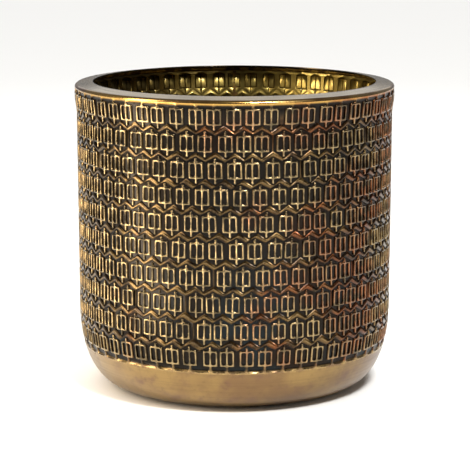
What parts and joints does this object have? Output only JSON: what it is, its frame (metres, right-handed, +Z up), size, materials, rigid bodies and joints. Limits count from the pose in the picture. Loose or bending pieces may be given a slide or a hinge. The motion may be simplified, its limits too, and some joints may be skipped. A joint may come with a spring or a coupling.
{
  "type": "planter pot",
  "caption": "Round brass planter pot with an embossed lattice wall, a flat turned-in rim and a smooth rolled base.",
  "frame": {"origin": "middle of the footprint, on the surface that the pot stands on", "axes": "+Z up along the pot's axis; +Y points to the back, where the wall's upright seam is"},
  "size_m": [0.2024, 0.2024, 0.195],
  "materials": {
    "rim_brass": "satin, flat ground top and polished edge",
    "embossed_brass": "antiqued, dark in the recesses and rubbed bright on the raised lines",
    "base_brass": "brushed round, lightly aged",
    "braze": "as brazed, dull",
    "pad_felt": "pressed felt"
  },
  "bodies": {
    "root": {"rim_ring": "rim_brass", "rim_braze": "braze", "wall_sheet": "embossed_brass", "wall_seam": "braze", "base_cup": "base_brass", "base_braze": "braze", "foot_pad_1": "pad_felt", "foot_pad_2": "pad_felt", "foot_pad_3": "pad_felt", "foot_pad_4": "pad_felt"}
  },
  "joints": []
}
